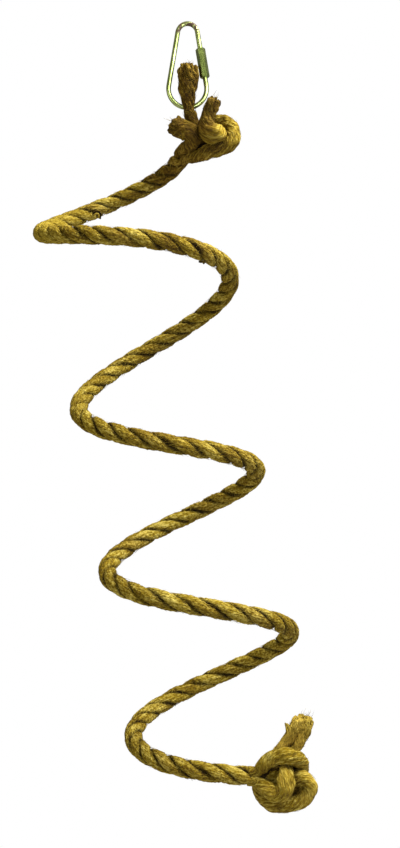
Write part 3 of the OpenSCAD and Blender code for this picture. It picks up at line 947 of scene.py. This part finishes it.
# The eye strand is painted darkest where it runs behind the knot and up the centre tail, as
# painted shade there
eye_weather_and_shade = (
    (0, 1.1), (2, 0.8), (4, 0.3), (5, 0.1), (8, 0.1), (10, 0.8), (12, 1.4), (16, 1.35),
    (17, 0.9),
)
left_route_shares = [
    [-0.15, 1.4, -3.15], [0.3, 0.45, -3.1], [0.45, -0.5, -3], [0.42, -1, -2.45],
    [-0.05, -0.85, -2.15], [-0.6, -0.65, -1.98], [-0.95, -0.6, -1.76],
]
left_width_shares = [0.64, 0.66, 0.86, 1, 1.14, 1.2, 1.26, 1.42, 1.5]
left_plump = ((-2, 1.4), (0, 1.3), (2, 1.2), (4, 1.26), (6, 1.14))
# The left strand is painted darker along its length, most at its tail
left_darkness = ((0, 1.1), (3, 1.2), (4, 0.6), (5, 1.3), (6.5, 1.5))
right_route_shares = [
    [0.75, 1.75, -3.1], [1.45, 1.45, -2.95], [2.3, 1, -2.6], [2.8, 0, -2.2],
    [2.65, -1.1, -2.4], [2, -1.75, -2.8], [1.6, -1.5, -1.95], [1.75, -1.48, -1.08],
    [2.02, -1.62, -0.42], [2.18, -1.72, 0],
]
right_width_shares = [0.64, 0.66, 0.8, 0.9, 0.96, 0.94, 1.18, 1.42, 1.2, 1.1, 1.14, 1.2]
right_plump = ((-2, 1.4), (0, 1.2), (2, 1.14), (3.5, 1.3), (5.5, 1.35), (7, 1.1))
# The right strand is painted dark from the left side of its bulge up its tail: painted shade
# beside the bulge, and the tail's own brown above it
right_weather_and_shade = (
    (2, 0.3), (3, 0.0), (4.6, -0.1), (5.4, 0.6), (6, 1.3), (7, 1.5), (8.4, 1.5), (9, 1.4),
)
head_along = -coil_heading(coil_start_angle)


def finish_strand(piece, node, body):
    piece.data.materials.clear()
    piece.data.materials.append(knot_fibre)
    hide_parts(node)
    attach(piece, body)


left_strand = skin("left_strand", opened_strand(
    head_seat, head_along, head_lay_angle, head_eye, left_route_shares, left_width_shares,
    seed=11, plump=left_plump, weather_and_shade=left_darkness, ends=18, past_tip=1.2 * MM, splay=0.0,
    end_width=0.2, fall_short=2.2 * MM, fibres=200,
))
finish_strand(left_strand, "head_strand_left", "perch")
right_strand = skin("right_strand", opened_strand(
    head_seat, head_along, head_lay_angle + 240, head_eye, right_route_shares,
    right_width_shares, seed=12, plump=right_plump, weather_and_shade=right_weather_and_shade, ends=24,
    past_tip=1.5 * MM, splay=0.0, end_width=0.15, fall_short=1.7 * MM, fibres=260,
))
finish_strand(right_strand, "head_strand_right", "perch")

# The eye is a gap between the yarns, as wide as the link's wide bow needs as it swings
eye_tubes = opened_strand(
    head_seat, head_along, head_lay_angle + 120, head_eye, eye_route_shares, eye_width_shares,
    seed=13, plump=eye_plump, weather_and_shade=eye_weather_and_shade, ends=32, past_tip=1.6 * MM, splay=0.08,
    end_width=0.15, fall_short=1.7 * MM, fibres=520,
)
head_heart_shares = [[0.2, 0.9, -3.3], [0.9, 0.7, -2.9], [1.6, 0.6, -2.6], [2.4, 0.3, -2.2]]
eye_tubes.append(heart(head_eye, head_heart_shares, 3.4 * MM))
eye_strand = skin("eye_strand", eye_tubes[:1])
eye_frays = skin("eye_frays", eye_tubes[1:])
eye_clearance = 0.3 * MM
bow_inside = low_bow_radius - wire_radius - eye_clearance
gap_at = np.linspace(-9.5, 9.5, 39) * MM
gap_reach = low_bow_radius - np.sqrt(bow_inside ** 2 - gap_at ** 2)
gap_turn = np.linspace(0, 2 * np.pi, 28, endpoint=False)
gap_rings = np.stack([
    gap_at[:, None] + 0 * gap_turn,
    gap_reach[:, None] * np.cos(gap_turn),
    gap_reach[:, None] * np.sin(gap_turn) + hinge_z,
], axis=2)
gap_round = gap_turn[None] * 2 * MM + 0 * gap_rings[:, :, 0]
eye_gap = skin("eye_gap", [(gap_rings, gap_round, gap_at, 1 + 0 * gap_round, 1)])
cut = eye_strand.modifiers.new("gap", 'BOOLEAN')
cut.operation = 'DIFFERENCE'
cut.object = eye_gap
bpy.ops.object.select_all(action='DESELECT')
bpy.context.view_layer.objects.active = eye_strand
bpy.ops.object.modifier_apply(modifier="gap")
bpy.data.objects.remove(eye_gap)
eye_strand.select_set(True)
eye_frays.select_set(True)
bpy.ops.object.join()
finish_strand(eye_strand, "head_strand_eye", "perch")

# Foot knot
# The same three strands end the coil in a close round knot. One arches over its front, one
# rounds its bottom and one turns up the middle, and their ends rise together in a tail.

# The routes and widths are the solid model's, but two of the tail's ends lie 3 mm aside
# here, which rounds off its tip
over_route_shares = [
    [0.85, -0.2, 1], [1.65, -0.65, 1.72], [2.5, -1.05, 2], [3.4, -0.82, 1.75],
    [4.02, 0.02, 1.14], [4.08, 1, 0.32], [3.95, 1.35, -0.6], [3.75, 0.8, -1.15],
    [3.3, 0.2, -1.2], [2.8, 0.55, -1], [2.6, 1.3, -0.4], [2.55, 1.8, 0.4],
    [2.75, 1.8, 1.3], [3.2, 1.7, 2.3], [3.7, 1.6, 3.3], [4.2, 1.5, 4.25],
]
over_width_shares = [
    0.64, 0.66, 0.94, 1.12, 1.28, 1.2, 1.08, 1, 0.96, 0.9, 0.86, 0.86, 0.9, 1, 0.96,
    0.9, 0.9, 0.86,
]
over_plump = (
    (-2, 1.35), (-0.5, 1.35), (1, 1.15), (3, 1.1), (9, 1.2), (11, 1.3), (12.5, 1.0),
    (14, 1.12), (15, 1.3),
)
over_weather = (
    (0, -0.1), (3, 0.05), (6, 0.7), (11, 0.7), (12.5, -0.6), (14.5, -0.6), (15.5, -0.3),
)
under_route_shares = [
    [0.65, 0.35, -1.05], [1, 0.1, -1.7], [1.7, -0.15, -2.2], [2.6, -0.3, -2.28],
    [3.5, -0.45, -2.02], [4.25, -0.55, -1.6], [4.65, -0.6, -0.85], [4.45, -0.65, -0.15],
    [3.8, -0.5, 0.05], [3, -0.03, -0.18], [2.15, 0.05, -0.25], [1.45, 0.2, -0.2],
    [1.3, 0.75, 0.45], [1.72, 0.95, 1.3], [2.35, 0.75, 2], [3, 0.6, 2.95],
    [3.82, 0.55, 4.32],
]
under_width_shares = [
    0.64, 0.66, 0.96, 1.16, 1.2, 1.2, 1.16, 1.14, 1.16, 1.14, 1.08, 0.98, 1.02, 1.02,
    0.94, 0.9, 0.9, 0.88, 0.86,
]
under_plump = (
    (-2, 1.5), (-0.5, 1.6), (1, 1.35), (3, 1.1), (7, 1.15), (9, 1.35), (11, 1.3),
    (13, 0.95), (15, 1.1), (16, 1.3),
)
under_weather = (
    (0, 0.5), (3, 0.3), (5, -0.2), (7, -0.2), (9, 0.5), (12.5, -0.4), (14, -0.7), (16, -0.6),
    (17, -0.3),
)
front_route_shares = [
    [1.02, -0.92, -0.62], [1.55, -1.35, -1], [2.15, -1.55, -1.08], [2.6, -1.65, -0.5],
    [2.6, -1.55, 0.2], [2.63, -0.85, 0.69], [2.8, 0.24, 0.9], [3.18, 0.8, 1.62],
    [3.98, 0.74, 2.75], [4.5, 0.72, 4.3],
]
front_width_shares = [0.64, 0.66, 0.92, 1.08, 1.14, 1.2, 1.18, 0.98, 0.84, 0.86, 0.86, 0.86]
front_plump = ((-2, 1.35), (-0.5, 1.35), (1, 1.25), (3, 1.25), (5, 1.2), (7, 1.05), (9, 1.35))
front_weather = (
    (0, 0.0), (3, -0.2), (5, -0.1), (6, 0.2), (7, -0.6), (8.5, -0.6), (9.5, -0.3),
)
foot_heart_shares = [[-0.2, 0, 0], [0.8, 0.1, 0.1], [2, 0.4, 0.5], [3.5, 0.4, 0.6]]
# One yarn of the tail is broken and its two halves stick out on the left
broken_yarns = (
    ([[71.4, -53.5, -507], [70.2, -54, -503], [69.1, -53.8, -499], [68.1, -53, -495.8],
      [67.2, -52.5, -493.2]],
     [1.3, 1.7, 1.5, 1.0, 0.4], [0], -0.3),
    ([[73.4, -53, -503.5], [72, -54, -500.5], [70.6, -54, -497.2], [69.2, -53, -494.8],
      [68, -52.5, -493.8]],
     [1.4, 1.8, 1.6, 1.2, 0.6], [0.1], -0.1),
)
foot_along = coil_heading(coil_end)
for name, shares, widths, plump, weather_and_shade, lay_place, seed in (
    ("over", over_route_shares, over_width_shares, over_plump, over_weather, 0, 21),
    ("under", under_route_shares, under_width_shares, under_plump, under_weather, 2, 22),
    ("front", front_route_shares, front_width_shares, front_plump, front_weather, 1, 23),
):
    foot_tubes = opened_strand(
        foot_seat, foot_along, foot_lay_angle + 120 * lay_place, foot_seat, shares, widths, seed,
        plump, weather_and_shade, ends=15, past_tip=1.2 * MM, splay=0.06, end_width=0.24,
        fall_short=3.4 * MM, fibres=260,
    )
    if name == "under":
        foot_tubes.append(heart(foot_seat, foot_heart_shares, 3.2 * MM))
        for yarn in broken_yarns:
            foot_tubes.append(stray_yarn(*yarn))
    strand = skin("foot_" + name + "_strand", foot_tubes)
    finish_strand(strand, "foot_strand_" + name, "foot")
